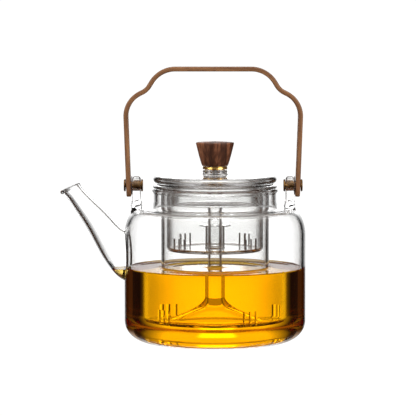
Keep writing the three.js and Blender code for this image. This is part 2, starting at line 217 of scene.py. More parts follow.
def lofted(name, rings, smooth_angle=35):
    """A closed solid through rings of points, with flat ends."""
    bm = bmesh.new()
    verts = [[bm.verts.new(p) for p in ring] for ring in rings]
    sides = len(verts[0])
    for a, b in zip(verts, verts[1:]):
        for i in range(sides):
            j = (i + 1) % sides
            bm.faces.new((a[i], a[j], b[j], b[i]))
    bm.faces.new(verts[0])
    bm.faces.new(verts[-1])
    return finish_mesh(name, bm, smooth_angle)


def block(name, size, place):
    bm = bmesh.new()
    bmesh.ops.create_cube(bm, size=1, matrix=place @ Matrix.Diagonal((*size, 1)))
    return finish_mesh(name, bm)


def bake_modifiers(obj):
    """Makes the result of the modifiers of obj its own mesh."""
    graph = bpy.context.evaluated_depsgraph_get()
    mesh = bpy.data.meshes.new_from_object(obj.evaluated_get(graph))
    obj.modifiers.clear()
    obj.data = mesh
    return obj


def combine(obj, operation, others, smooth_angle=35):
    """Joins, cuts or intersects obj with others, which are used up."""
    for other in others:
        modifier = obj.modifiers.new("combine", "BOOLEAN")
        modifier.operation = operation
        modifier.solver = "MANIFOLD"
        modifier.object = other
        bake_modifiers(obj)
        bpy.data.objects.remove(other)
    obj.data.shade_smooth()
    obj.data.set_sharp_from_angle(angle=math.radians(smooth_angle))
    return obj


# ---- Material helpers ----


class Nodes:
    """A material's node tree with its one Principled shader."""

    def __init__(self, name):
        self.material = bpy.data.materials.new(name)
        self.material.use_nodes = True
        self.tree = self.material.node_tree
        self.shader = self.tree.nodes["Principled BSDF"]

    def add(self, kind, inputs=None, **settings):
        node = self.tree.nodes.new(kind)
        for key, value in settings.items():
            setattr(node, key, value)
        for key, value in (inputs or {}).items():
            if isinstance(value, bpy.types.NodeSocket):
                self.tree.links.new(value, node.inputs[key])
            else:
                node.inputs[key].default_value = value
        return node

    def link(self, source, name):
        self.tree.links.new(source, self.shader.inputs[name])

    def set(self, **values):
        for key, value in values.items():
            self.shader.inputs[key.replace("_", " ")].default_value = value

    def coordinates(self, scale, uv=None):
        if uv:
            source = self.add("ShaderNodeUVMap", uv_map=uv).outputs["UV"]
        else:
            source = self.add("ShaderNodeTexCoord").outputs["Object"]
        return self.add("ShaderNodeMapping", {"Vector": source, "Scale": scale}).outputs["Vector"]

    def noise(self, vector, detail=4.0, roughness=0.5, distortion=0.0):
        values = {"Vector": vector, "Scale": 1.0, "Detail": detail, "Roughness": roughness}
        values["Distortion"] = distortion
        return self.add("ShaderNodeTexNoise", values).outputs["Fac"]

    def ramp(self, factor, stops):
        """A colour from a value from 0 to 1, through stops of (value, colour)."""
        node = self.add("ShaderNodeValToRGB", {"Fac": factor})
        elements = node.color_ramp.elements
        while len(elements) < len(stops):
            elements.new(0.5)
        for element, (position, colour) in zip(elements, stops):
            element.position = position
            element.color = (*colour, 1)
        return node.outputs["Color"]

    def span(self, factor, low_value, high_value, low_in=0.0, high_in=1.0):
        """The factor's range from low_in to high_in, laid over low_value to high_value."""
        values = {"Value": factor, "From Min": low_in, "From Max": high_in}
        values.update({"To Min": low_value, "To Max": high_value})
        return self.add("ShaderNodeMapRange", values).outputs["Result"]

    def bump(self, height, distance, strength=1.0):
        values = {"Height": height, "Distance": distance, "Strength": strength}
        self.link(self.add("ShaderNodeBump", values).outputs["Normal"], "Normal")


GLASS_IOR = 1.47
TEA_IOR = 1.333


def glass_material(name, tea=None):
    """Clear blown glass with faint waves in its surface. Where it stands in the tea, light bends less."""
    n = Nodes(name)
    n.set(Base_Color=(0.988, 0.99, 0.988, 1), Transmission_Weight=1.0, IOR=GLASS_IOR, Roughness=0.0)
    waves = n.noise(n.coordinates((60, 60, 24)), detail=2.0)
    n.bump(waves, 0.004 * MM, 1.0)
    if tea:
        place = n.add("ShaderNodeTexCoord", object=tea).outputs["Object"]
        height = n.add("ShaderNodeSeparateXYZ", {"Vector": place}).outputs["Z"]
        inside = n.add("ShaderNodeMath", {0: height, 1: TEA_Z}, operation="LESS_THAN").outputs[0]
        n.link(n.span(inside, GLASS_IOR, GLASS_IOR / TEA_IOR), "IOR")
    return n.material


def tea_material():
    """Clear amber tea, whose colour deepens with the thickness of tea that is looked through."""
    n = Nodes("amber_tea")
    n.set(Base_Color=(1.0, 0.8, 0.5, 1), Transmission_Weight=1.0, IOR=TEA_IOR, Roughness=0.0)
    volume = n.tree.nodes.new("ShaderNodeVolumeAbsorption")
    volume.inputs["Color"].default_value = (0.998, 0.9, 0.04, 1)
    volume.inputs["Density"].default_value = 62.0
    n.tree.links.new(volume.outputs["Volume"], n.tree.nodes["Material Output"].inputs["Volume"])
    return n.material


def bent_wood_material():
    """Walnut strip. The grain runs along the strip, whose length and breadth are its UVs in metres."""
    n = Nodes("bent_walnut")
    long_grain = n.coordinates((26, 900, 1), uv="grain")
    broad = n.coordinates((9, 160, 1), uv="grain")
    streaks = n.noise(long_grain, detail=6.0, roughness=0.62, distortion=0.25)
    clouds = n.noise(broad, detail=3.0, roughness=0.5, distortion=0.4)
    pores = n.noise(n.coordinates((150, 3800, 1), uv="grain"), detail=2.0, roughness=0.4)
    both = n.add("ShaderNodeMix", {"Factor": 0.4, "A": streaks, "B": clouds}).outputs["Result"]
    stops = [(0.3, (0.048, 0.017, 0.005)), (0.45, (0.117, 0.046, 0.014)), (0.58, (0.195, 0.085, 0.029))]
    colour = n.ramp(both, stops + [(0.7, (0.265, 0.126, 0.046))])
    pore_mask = n.span(pores, 0.0, 1.0, 0.3, 0.42)
    mixed = n.add("ShaderNodeMix", {"Factor": pore_mask}, data_type="RGBA")
    mixed.inputs["A"].default_value = (0.09, 0.038, 0.02, 1)
    n.tree.links.new(colour, mixed.inputs["B"])
    n.link(mixed.outputs["Result"], "Base Color")
    n.link(n.span(streaks, 0.38, 0.6), "Roughness")
    n.set(Specular_IOR_Level=0.4)
    n.bump(both, 0.12 * MM, 0.6)
    return n.material


def walnut_material():
    """Dark walnut turned with its grain upright."""
    n = Nodes("dark_walnut")
    rings = n.noise(n.coordinates((190, 70, 9)), detail=4.0, roughness=0.55, distortion=0.5)
    fibres = n.noise(n.coordinates((900, 900, 30)), detail=5.0, roughness=0.6)
    both = n.add("ShaderNodeMix", {"Factor": 0.35, "A": rings, "B": fibres}).outputs["Result"]
    stops = [(0.34, (0.018, 0.006, 0.003)), (0.46, (0.065, 0.021, 0.009)), (0.56, (0.18, 0.066, 0.03))]
    n.link(n.ramp(both, stops + [(0.68, (0.32, 0.14, 0.07))]), "Base Color")
    n.link(n.span(fibres, 0.38, 0.55), "Roughness")
    n.set(Specular_IOR_Level=0.25)
    n.bump(both, 0.1 * MM, 0.5)
    return n.material


def brass_material(name, axis, stops, roughness):
    """Turned brass with fine tool lines round its axis and a few duller patches."""
    n = Nodes(name)
    across = (9000, 40, 40) if axis == "X" else (40, 40, 9000)
    lines = n.noise(n.coordinates(across), detail=2.0)
    patches = n.noise(n.coordinates((260, 260, 260)), detail=3.0)
    n.link(n.ramp(patches, stops), "Base Color")
    n.set(Metallic=1.0)
    n.link(n.span(patches, *roughness), "Roughness")
    n.bump(lines, 0.01 * MM, 0.35)
    return n.material


def steel_material():
    n = Nodes("turned_steel")
    n.set(Metallic=1.0)
    lines = n.noise(n.coordinates((60, 60, 9000)), detail=2.0)
    n.link(n.ramp(lines, [(0.2, (0.5, 0.51, 0.53)), (0.8, (0.68, 0.69, 0.7))]), "Base Color")
    n.link(n.span(lines, 0.2, 0.36), "Roughness")
    n.bump(lines, 0.01 * MM, 0.3)
    return n.material


def silicone_material():
    """Clear silicone with a little cloudiness."""
    n = Nodes("clear_silicone")
    n.set(Base_Color=(0.93, 0.93, 0.92, 1), Transmission_Weight=0.95, IOR=1.3)
    n.link(n.span(n.noise(n.coordinates((400, 400, 400))), 0.08, 0.2), "Roughness")
    return n.material


def leather_material():
    n = Nodes("dark_leather")
    cells = n.add("ShaderNodeTexVoronoi", {"Vector": n.coordinates((1500, 1500, 1500))})
    blotches = n.noise(n.coordinates((300, 300, 300)), detail=4.0)
    n.link(n.ramp(blotches, [(0.3, (0.025, 0.012, 0.008)), (0.7, (0.075, 0.034, 0.02))]), "Base Color")
    n.link(n.span(blotches, 0.5, 0.75), "Roughness")
    n.bump(cells.outputs["Distance"], 0.12 * MM, 0.6)
    return n.material


def dress(obj, material, body=None, replaced=()):
    """Gives obj its material, hangs it on the body it rides on and hides the CAD nodes it stands for."""
    obj.data.materials.clear()
    obj.data.materials.append(material)
    if body:
        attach(obj, body)
    if replaced:
        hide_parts(*replaced)
    return obj


# ---- Pot: body, spout and ears, one welded piece of glass ----

BODY_WALL = 2.6 * MM
BODY_FLOOR = 3 * MM
BASE_WIDE, BASE_TALL = 18 * MM, 15 * MM
SHOULDER_WIDE, SHOULDER_TALL = 12 * MM, 20 * MM
SHOULDER_Z = 96.5 * MM
NECK_R, NECK_WALL, NECK_FILLET = 44.4 * MM, 2.5 * MM, 5 * MM
BEAD = 1.8 * MM
CORNER_X = BODY_R - BASE_WIDE
SHOULDER_X = BODY_R - SHOULDER_WIDE
SHOULDER_LOW = SHOULDER_Z - SHOULDER_TALL
FILLET_X, FILLET_Z = NECK_R + NECK_FILLET, SHOULDER_Z + NECK_FILLET
INNER_NECK = NECK_R - NECK_WALL
BEAD_X, BEAD_Z = INNER_NECK + BEAD, RIM_Z - BEAD


def body_outside():
    profile = [(0, 0), (CORNER_X, 0)]
    profile += arc(CORNER_X, BASE_TALL, BASE_WIDE, BASE_TALL, -1, 0, 20)
    profile += arc(SHOULDER_X, SHOULDER_LOW, SHOULDER_WIDE, SHOULDER_TALL, 0, 1, 24)
    profile += arc(FILLET_X, FILLET_Z, NECK_FILLET, NECK_FILLET, 3, 2, 10)
    profile += [(NECK_R, BEAD_Z - BEAD)]
    profile += arc(BEAD_X, BEAD_Z, BEAD, BEAD, 0, 1, 8)
    profile += [(0, RIM_Z)]
    return turned("pot_glass", profile)


def cavity_profile(grow=0.0):
    """The hollow of the pot, from its floor up to the neck."""
    wall = BODY_WALL - grow
    floor = BODY_FLOOR - grow
    profile = [(0, floor), (CORNER_X, floor)]
    profile += arc(CORNER_X, BASE_TALL, BASE_WIDE - wall, BASE_TALL - floor, -1, 0, 20)
    profile += arc(SHOULDER_X, SHOULDER_LOW, SHOULDER_WIDE - wall, SHOULDER_TALL - wall, 0, 1, 24)
    reach = FILLET_X - INNER_NECK
    return profile + arc(FILLET_X, FILLET_Z, reach, reach, 3, 2, 10)


def cavity():
    profile = cavity_profile() + [(INNER_NECK, BEAD_Z)]
    profile += arc(BEAD_X, BEAD_Z, BEAD, BEAD, 2, 1, 8)[:-1]
    above = RIM_Z + 9 * MM
    return turned("cavity", profile + [(BEAD_X - 0.06 * MM, above), (0, above)])


# The spout's middle line in mm: x, z, radius across, radius along the slope, lean of the section in degrees.
SPOUT = [
    (-57, 60.5, 15.5, 19, 78),
    (-64.5, 62.8, 14.2, 17.3, 74),
    (-70.5, 67.4, 12.5, 14.2, 62),
    (-76.8, 75.2, 10.8, 11.3, 46),
    (-85.3, 87.4, 9.2, 9.2, 39),
    (-95.3, 99.8, 7.5, 7.4, 32),
    (-101, 106.8, 6.7, 6.7, 28),
    (-104.3, 110.9, 6.6, 7.1, 25),
    (-107.2, 115, 6.6, 7.6, 23),
]
MOUTH = 7  # the station that is the mouth
SPOUT_WALL = 2.0  # mm
SPOUT_ROUND, SPOUT_STEPS = 160, 110


def smooth_station(t):
    """A station of the spout at t, counted in stations, on a smooth curve through all of them."""
    k = min(int(t), len(SPOUT) - 2)
    f = t - k
    p0, p1, p2, p3 = (SPOUT[min(max(k + i, 0), len(SPOUT) - 1)] for i in (-1, 0, 1, 2))
    values = []
    for a, b, c, d in zip(p0, p1, p2, p3):
        slope = (c - a) * f + (2 * a - 5 * b + 4 * c - d) * f * f + (3 * b - a - 3 * c + d) * f**3
        values.append(b + slope / 2)
    return values


def spout_ring(t, inset):
    """The spout's outline at t, counted in stations, drawn in by inset in mm."""
    x, z, across, along, lean = smooth_station(t)
    lean = math.radians(lean)
    slope = Vector((math.cos(lean), 0, math.sin(lean)))
    centre = Vector((x, 0, z)) * MM
    points = []
    for i in range(SPOUT_ROUND):
        turn = 2 * math.pi * i / SPOUT_ROUND
        side = Vector((0, math.sin(turn) * (across - inset) * MM, 0))
        points.append(centre + slope * (math.cos(turn) * (along - inset) * MM) + side)
    return points


def spout_solid(name, inset, end):
    return lofted(name, [spout_ring(end * i / SPOUT_STEPS, inset) for i in range(SPOUT_STEPS + 1)])


def mouth_lip():
    """The fire-polished bead round the spout's mouth, thicker on the pouring side."""
    ring = spout_ring(MOUTH, 1.05)
    centre = sum(ring, Vector()) / len(ring)
    lean = math.radians(SPOUT[MOUTH][4])
    axis = Vector((-math.sin(lean), 0, math.cos(lean)))
    bm = bmesh.new()
    steps = 24
    rows = []
    for p in ring:
        outward = (p - centre).normalized()
        pouring = max(0.0, -outward.x)
        thick = (1.15 + 0.35 * pouring) * MM
        middle = p + outward * ((0.25 + 0.55 * pouring) * MM)
        row = []
        for i in range(steps):
            t = 2 * math.pi * i / steps
            row.append(bm.verts.new(middle + outward * (thick * math.cos(t)) + axis * (thick * math.sin(t))))
        rows.append(row)
    for a, b in zip(rows, rows[1:] + rows[:1]):
        for i in range(steps):
            j = (i + 1) % steps
            bm.faces.new((a[i], b[i], b[j], a[j]))
    return finish_mesh("mouth_lip", bm)


EAR_WIDTH = 13 * MM
EAR_HOLE = 4 * MM
EAR_FOOT_Z = 88 * MM
EAR_LEDGE_Z, EAR_FOOT_DEPTH = 102.4 * MM, 13 * MM


def ear_tongue(name, x):
    """A flat glass tongue with a round top, whose front and back edges are drawn out to a deep curve."""
    ease_across, ease_along = 1.6 * MM, 3.2 * MM
    steps = 12
    rings = []
    for i in range(steps + 1):
        turn = QUARTER * i / steps
        deep = EAR_WIDTH / 2 - ease_along * (1 - math.cos(turn))
        tall = EAR_WIDTH / 2 - ease_across * (1 - math.cos(turn))
        outline = [(-deep, EAR_FOOT_Z), (deep, EAR_FOOT_Z)] + arc(0, PIVOT_Z, deep, tall, 0, 2, 40)
        out = EAR_THICK / 2 - ease_across * (1 - math.sin(turn))
        rings += [[Vector((x + s, y, z)) for y, z in outline] for s in (out, -out)]
    rings.sort(key=lambda ring: ring[0].x)
    return lofted(name, rings, 60)


def ear_foot(name, x):
    """The lumpy foot left by the welding: a ledge round the tongue, then a wavy flare on to the shoulder."""
    rings = []
    steps = 48
    for i in range(steps + 1):
        t = i / steps
        z = EAR_LEDGE_Z - t * EAR_FOOT_DEPTH
        ledge = 0.55 * MM * min(1, t * 14) ** 0.5
        flare = 1.3 * MM * t**0.75
        lumpiness = min(1, t * 5)
        middle = x - math.copysign(0.5 * MM * t * t, x)
        ring = []
        for k in range(SMALL_ROUND):
            a = 2 * math.pi * k / SMALL_ROUND
            lump = lumpiness * (0.2 * math.sin(3 * a + 15 * t) + 0.12 * math.sin(24 * t)) * MM
            growth = ledge + flare + lump - 0.1 * MM
            wide, deep = EAR_THICK / 2 + growth, EAR_WIDTH / 2 + growth
            ring.append(Vector((middle + wide * math.cos(a), deep * math.sin(a), z)))
        rings.append(ring)
    return lofted(name, rings)


def ear_x(side):
    node = "ear_bush_right" if side > 0 else "ear_bush_left"
    return (low(node).x + high(node).x) / 2


def pot():
    """Body, spout and ears welded into one piece, then hollowed."""
    outside = body_outside()
    solids = [spout_solid("spout_outside", 0.0, MOUTH), mouth_lip()]
    holes = [cavity(), spout_solid("spout_bore", SPOUT_WALL, MOUTH + 1)]
    for side in (1, -1):
        x = ear_x(side)
        solids += [ear_tongue("ear", x), ear_foot("ear_foot", x)]
        length = EAR_THICK * 0.75
        bore = [(0, -length), (EAR_HOLE, -length), (EAR_HOLE, length), (0, length)]
        holes.append(turned_along_x("ear_bore", bore, x, 1))
    combine(outside, "UNION", solids)
    return combine(outside, "DIFFERENCE", holes)


# ---- Tea ----

LINER_R, LINER_WALL, LINER_SLIT_TOP = 39.2 * MM, 2 * MM, 25.5 * MM
LINER_SLITS = (-55, 35, 125, 215), 6.4, 1.0 * MM  # turns, pitch, width
COLUMN_R, COLUMN_WALL = 5.25 * MM, 1.5 * MM
MENISCUS_RISE, MENISCUS_REACH = 1.3 * MM, 1.3 * MM


def tea_height(r):
    """The tea climbs a little at each glass wall."""
    walls = (COLUMN_R - COLUMN_WALL, COLUMN_R, LINER_R - LINER_WALL, LINER_R, BODY_R - BODY_WALL)
    nearest = min(abs(r - wall) for wall in walls)
    return TEA_Z + MENISCUS_RISE * math.exp(-nearest / MENISCUS_REACH)


def tea_solid():
    """The whole hollow of body and spout, cut off at the tea's level."""
    overlap = 0.25 * MM  # the tea reaches a little into the glass, so no film of air shows between them
    above = FILLET_Z + 1 * MM
    tea = turned("tea", cavity_profile(overlap) + [(INNER_NECK, above), (0, above)])
    half_way_up = 5  # the station up to which the spout is filled before the cut
    combine(tea, "UNION", [spout_solid("spout_tea", SPOUT_WALL - overlap / MM, half_way_up)])
    step = 0.25 * MM
    radii = [i * step for i in range(int(78 * MM / step))]
    surface = [(r, tea_height(r)) for r in reversed(radii)]
    below = turned("tea_level", [(0, -5 * MM), (radii[-1], -5 * MM)] + surface)
    return combine(tea, "INTERSECT", [below])


# ---- Liner with its steam column, and basket with its sleeve ----


SLIT_REACH = 4.2 * MM  # how far the slits run in over the floor of a cup


def slit_cutters(radius, wall, bottom, top, turns, pitch, width):
    """Blocks for groups of three slits round the low edge of a cup. Turns and pitch are in degrees."""
    inner = radius - wall - SLIT_REACH
    length = radius + 1 * MM - inner
    floor = bottom - 1 * MM
    cutters = []
    for middle in turns:
        for i in (-1, 0, 1):
            turn = Matrix.Rotation(math.radians(middle + i * pitch), 4, "Z")
            place = turn @ Matrix.Translation((inner + length / 2, 0, (floor + top) / 2))
            cutters.append(block("slit", (length, width, top - floor), place))
    return cutters


def joined(objects):
    """Puts separate solids into one object, for one cut."""
    bm = bmesh.new()
    for obj in objects:
        bm.from_mesh(obj.data)
        bpy.data.objects.remove(obj)
    return finish_mesh("cutters", bm)


CUP_CORNER = 3.4 * MM
CUP_FLOOR = 2 * MM
UNDER_FLANGE = 0.8 * MM  # radius of the hollow corner under the flange
CUP_MOUTH = 1.5 * MM  # radius of the rounded edge of the mouth


def cup_outline(radius, wall, bottom, flange_r, flange_low, flange_top):
    """The outside, the flange and the inside of a hanging cup, from its bottom to its floor."""
    edge = (flange_top - flange_low) / 2
    low_x, low_z = radius - CUP_CORNER, bottom + CUP_CORNER
    outline = arc(low_x, low_z, CUP_CORNER, CUP_CORNER, -1, 0, 10)
    outline += arc(radius + UNDER_FLANGE, flange_low - UNDER_FLANGE, UNDER_FLANGE, UNDER_FLANGE, 2, 1, 4)
    outline += arc(flange_r - edge, flange_low + edge, edge, edge, -1, 1, 12)
    outline += arc(radius - wall + CUP_MOUTH, flange_top - CUP_MOUTH, CUP_MOUTH, CUP_MOUTH, 1, 2, 6)
    return outline + arc(low_x, low_z, CUP_CORNER - wall, CUP_CORNER - CUP_FLOOR, 0, -1, 10)


def liner():
    """The liner cup. Its floor rises as a cone into the steam column."""
    cone_r, cone_top = 27.7 * MM, 29.3 * MM
    floor = LINER_Z + CUP_FLOOR
    bore = COLUMN_R - COLUMN_WALL
    tip_r = COLUMN_WALL / 2
    profile = cup_outline(LINER_R, LINER_WALL, LINER_Z, LINER_FLANGE_R, LINER_TOP - 2 * MM, LINER_TOP)
    # The cone's upper side, up into the column.
    profile += curve((cone_r + 2 * MM, floor), (cone_r, floor), (cone_r - 3 * MM, floor + 1.2 * MM), 4)
    into_column = (COLUMN_R + 1.5 * MM, cone_top - 1.5 * MM)
    profile += curve((16 * MM, 22.6 * MM), into_column, (COLUMN_R, cone_top + 4 * MM), 10)
    profile += arc(COLUMN_R - tip_r, COLUMN_TOP - tip_r, tip_r, tip_r, 0, 2, 8)
    # The cone's under side, down to the liner's bottom.
    out_of_column = (bore + 3 * MM, cone_top - 4 * MM)
    profile += curve((bore, cone_top + 2 * MM), (bore, cone_top - 2 * MM), out_of_column, 8)
    profile += curve((cone_r - 5 * MM, floor), (cone_r - 1 * MM, LINER_Z), (cone_r + 2 * MM, LINER_Z), 6)
    cup = turned("liner", profile)
    cuts = slit_cutters(LINER_R, LINER_WALL, LINER_Z, LINER_SLIT_TOP, *LINER_SLITS)
    return combine(cup, "DIFFERENCE", [joined(cuts)])


BASKET_R, BASKET_WALL, BASKET_SLIT_TOP = 35 * MM, 2 * MM, 76 * MM
BASKET_SLITS = (-43, 47, 133, 223), 8.5, 0.7 * MM  # turns, pitch, width
SLEEVE_R, SLEEVE_WALL = 7 * MM, 1.1 * MM


def basket():
    """The basket cup with the sleeve that stands in the middle of its floor."""
    floor = BASKET_Z + CUP_FLOOR
    edge, fillet = 0.55 * MM, 1.2 * MM
    bore = SLEEVE_R - SLEEVE_WALL
    profile = cup_outline(BASKET_R, BASKET_WALL, BASKET_Z, BASKET_FLANGE_R, BASKET_TOP - 1.2 * MM, BASKET_TOP)
    profile += arc(SLEEVE_R + fillet, floor + fillet, fillet, fillet, 3, 2, 6)
    profile += [(SLEEVE_R, SLEEVE_TOP - 2 * edge)]
    profile += arc(SLEEVE_FLANGE_R - edge, SLEEVE_TOP - edge, edge, edge, -1, 1, 8)
    profile += [(bore, SLEEVE_TOP), (bore, BASKET_Z)]
    cup = turned("basket", profile)
    cuts = slit_cutters(BASKET_R, BASKET_WALL, BASKET_Z, BASKET_SLIT_TOP, *BASKET_SLITS)
    return combine(cup, "DIFFERENCE", [joined(cuts)])


# ---- Lid with its knob ----


def lid():
    """The lid: a slightly domed plate with a round edge, a hollow plug below and a boss above."""
    edge = 2.5 * MM
    crown = LID_Z + 2 * edge + 1 * MM  # height of the plate's middle
    rim_top = LID_Z + 2 * edge
    under = crown - 3 * MM
    plug_r, plug_wall = 32 * MM, 2.5 * MM
    boss_r, boss_foot = 8.8 * MM, 12 * MM
    hole = 2.6 * MM
    plug_in, plug_tip = plug_r - plug_wall, plug_wall / 2
    recess = LID_BOSS_TOP - 2.7 * MM
    ease = 0.8 * MM
    # The hollow under the boss and the plate.
    profile = [(hole, recess), (boss_r - 3 * MM, recess)]
    below_boss = (boss_r - 2.6 * MM, recess - 0.6 * MM)
    profile += curve(below_boss, (boss_r - 2 * MM, under), (boss_r + 2 * MM, under), 6)
    below_plate = (plug_in - 4 * MM, under - 0.4 * MM)
    profile += curve(below_plate, (plug_in, under - 0.6 * MM), (plug_in, under - 4.5 * MM), 8)
    profile += arc(plug_in + plug_tip, LID_PLUG_Z + plug_tip, plug_tip, plug_tip, 2, 4, 12)
    profile += arc(plug_r + 1 * MM, LID_Z - 1 * MM, 1 * MM, 1 * MM, 2, 1, 5)
    profile += arc(LID_R - edge, LID_Z + edge, edge, edge, -1, 1, 16)
    # The top of the plate, and the boss.
    rim = (LID_R - edge - 4 * MM, rim_top + 0.25 * MM)
    profile += curve(rim, (boss_foot + 12 * MM, crown), (boss_foot, crown), 10)
    profile += curve((boss_foot - 0.5 * MM, crown), (boss_r, crown), (boss_r, LID_BOSS_TOP - 1 * MM), 8)
    profile += arc(boss_r - ease, LID_BOSS_TOP - ease, ease, ease, 0, 1, 5)
    profile += [(hole, LID_BOSS_TOP)]
    return turned("lid", profile)


KNOB_BORE = 2.2 * MM
KNOB_ROUND = 96  # faces round the knob and its collar


def knob():
    """The knob: it flares to a softened top edge and has a blind hole for the screw."""
    foot_r, ease = 9.4 * MM, 0.7 * MM
    depth = high("knob_screw").z + 0.3 * MM
    dome = KNOB_TOP + 0.5 * MM
    side_top = KNOB_TOP - 0.8 * MM
    profile = [(KNOB_BORE, KNOB_Z), (foot_r - 0.4 * MM, KNOB_Z)]
    flare = (foot_r + 1.5 * MM, KNOB_Z + 4 * MM)
    profile += curve((foot_r, KNOB_Z + 0.4 * MM), flare, (KNOB_R, side_top), 12)
    profile += arc(KNOB_R - ease, side_top, ease, ease, 0, 1, 5)
    profile += curve((KNOB_R - 1.5 * MM, KNOB_TOP), (KNOB_R / 2, dome), (0, dome), 8)
    profile += [(0, depth), (KNOB_BORE, depth)]
    return turned("knob_fine", profile, KNOB_ROUND)


def collar():
    """The brass collar, with a faint waist."""
    ease = 0.35 * MM
    middle = (COLLAR_Z + COLLAR_TOP) / 2
    waist = COLLAR_R - 0.15 * MM
    profile = [(KNOB_BORE, COLLAR_Z)]
    profile += arc(COLLAR_R - ease, COLLAR_Z + ease, ease, ease, -1, 0, 4)
    profile += curve((COLLAR_R, middle - 0.3 * MM), (waist, middle), (COLLAR_R, middle + 0.3 * MM), 4)
    profile += arc(COLLAR_R - ease, COLLAR_TOP - ease, ease, ease, 0, 1, 4)
    return turned("collar_fine", profile + [(KNOB_BORE, COLLAR_TOP)], KNOB_ROUND)


# ---- Bail and its pivots ----

BAIL_THICK = 3.4 * MM
# Corners of the bail's middle line in mm, each with the radius that it is bent to.
BAIL_CORNERS = [(63.4, 174.1, 18), (47.9, 181.8, 12.5), (38.7, 197, 20)]
BAIL_FOOT_X = 60.9  # mm
BAIL_FOOT_CORNER, BAIL_EASE = 5.0, 0.9  # radii of the foot's corners and of the long edges, in mm
BAIL_HOLE, BAIL_HOLE_FROM, BAIL_HOLE_TO = 3.2 * MM, 50 * MM, 75 * MM  # outwards from the bail's middle
END_STEPS = [0.25 * i for i in range(1, 6)]  # extra rings at the strip's ends, in mm from the end


def bail_half_line():
    """Points and outward normals of the bail's middle line, from the right foot to the middle of the top."""
    line = [Vector((BAIL_FOOT_X, BAIL_FOOT_Z / MM))]
    line += [Vector((x, z)) for x, z, bend in BAIL_CORNERS]
    line.append(Vector((0, BAIL_TOP_Z / MM - BAIL_THICK / MM / 2)))
    line[-2].y = line[-1].y
    points = []
    position = line[0]
    for k in range(1, len(line)):
        before = (line[k] - line[k - 1]).normalized()
        last = k == len(line) - 1
        bend = 0 if last else BAIL_CORNERS[k - 1][2]
        after = before if last else (line[k + 1] - line[k]).normalized()
        turn = before.x * after.y - before.y * after.x
        angle = math.atan2(turn, before.dot(after))
        start = line[k] - before * (bend * math.tan(abs(angle) / 2))
        length = (start - position).length
        steps = max(2, round(length / 1.5))
        for i in range(steps):
            points.append((position + before * (length * i / steps), Vector((before.y, -before.x))))
        if last:
            points.append((line[k], Vector((before.y, -before.x))))
            break
        side = 1 if angle > 0 else -1
        centre = start + Vector((-before.y, before.x)) * (side * bend)
        arc_steps = max(6, round(abs(angle) * bend / 0.8))
        for i in range(arc_steps):
            spoke = Matrix.Rotation(angle * i / arc_steps, 2) @ (start - centre)
            points.append((centre + spoke, spoke.normalized() * side))
        position = centre + Matrix.Rotation(angle, 2) @ (start - centre)
    return points


def bail_section(place, normal, s, total):
    """A ring round the strip at s mm along it: each point's place, and its offsets out and across in mm."""
    end = min(s, total - s)
    tuck = BAIL_FOOT_CORNER - math.sqrt(max(0.0, BAIL_FOOT_CORNER**2 - max(0.0, BAIL_FOOT_CORNER - end) ** 2))
    thin = 0.35 * max(0.0, 1 - end / 0.8)  # the strip's end is eased
    wide, thick = BAIL_WIDTH / MM / 2 - tuck, BAIL_THICK / MM / 2 - thin
    ring = []
    for cx, cy, quarter in ((1, 1, 0), (-1, 1, 1), (-1, -1, 2), (1, -1, 3)):
        for i in range(5):
            t = (quarter + i / 4) * QUARTER
            out = cx * (thick - BAIL_EASE) + BAIL_EASE * math.cos(t)
            across = cy * (wide - BAIL_EASE) + BAIL_EASE * math.sin(t)
            q = place + normal * out
            ring.append((Vector((BAIL_MIDDLE_X / MM + q.x, across, q.y)) * MM, out, across))
    return ring


def bail_stations():
    """Places, normals and lengths along the strip, with more of them where its ends are rounded."""
    half = bail_half_line()
    line = half + [(Vector((-p.x, p.y)), Vector((-n.x, n.y))) for p, n in reversed(half[:-1])]
    lengths = [0.0]
    for (a, _), (b, _) in zip(line, line[1:]):
        lengths.append(lengths[-1] + (b - a).length)
    total = lengths[-1]
    stations = [(p, n, s) for (p, n), s in zip(line, lengths)]
    (start, start_normal), (near_end, end_normal) = line[0], line[-2]
    up, down = (line[1][0] - start).normalized(), (line[-1][0] - near_end).normalized()
    gap = total - lengths[-2]
    for e in END_STEPS:
        if e < lengths[1]:
            stations.append((start + up * e, start_normal, e))
        if e < gap:
            stations.append((near_end + down * (gap - e), end_normal, total - e))
    return sorted(stations, key=lambda station: station[2]), total


def bail():
    """The bent strip, with its grain laid out along it, and a hole in each foot."""
    stations, total = bail_stations()
    bm = bmesh.new()
    layer = bm.loops.layers.uv.new("grain")
    grain = {}
    rows = []
    for place, normal, s in stations:
        row = []
        for point, out, across in bail_section(place, normal, s, total):
            vert = bm.verts.new(point)
            grain[vert] = (s * MM, (across + 0.5 * out) * MM)
            row.append(vert)
        rows.append(row)
    sides = len(rows[0])
    faces = []
    for a, b in zip(rows, rows[1:]):
        for i in range(sides):
            j = (i + 1) % sides
            faces.append(bm.faces.new((a[i], a[j], b[j], b[i])))
    faces += [bm.faces.new(rows[0]), bm.faces.new(rows[-1])]
    for face in faces:
        for loop in face.loops:
            loop[layer].uv = grain[loop.vert]
    strip = finish_mesh("bail_strip", bm, 50)
    hole = [(0, BAIL_HOLE_FROM), (BAIL_HOLE, BAIL_HOLE_FROM), (BAIL_HOLE, BAIL_HOLE_TO), (0, BAIL_HOLE_TO)]
    for side in (1, -1):
        combine(strip, "DIFFERENCE", [turned_along_x("hole", hole, BAIL_MIDDLE_X, side)], 50)
    return strip


PIVOT_HEAD_R, PIVOT_HEAD = 4.4 * MM, 1.3 * MM


def along_x(node, side):
    """Where a pivot's piece starts and ends, measured outwards from the pot's middle."""
    return (low(node).x, high(node).x) if side > 0 else (-high(node).x, -low(node).x)


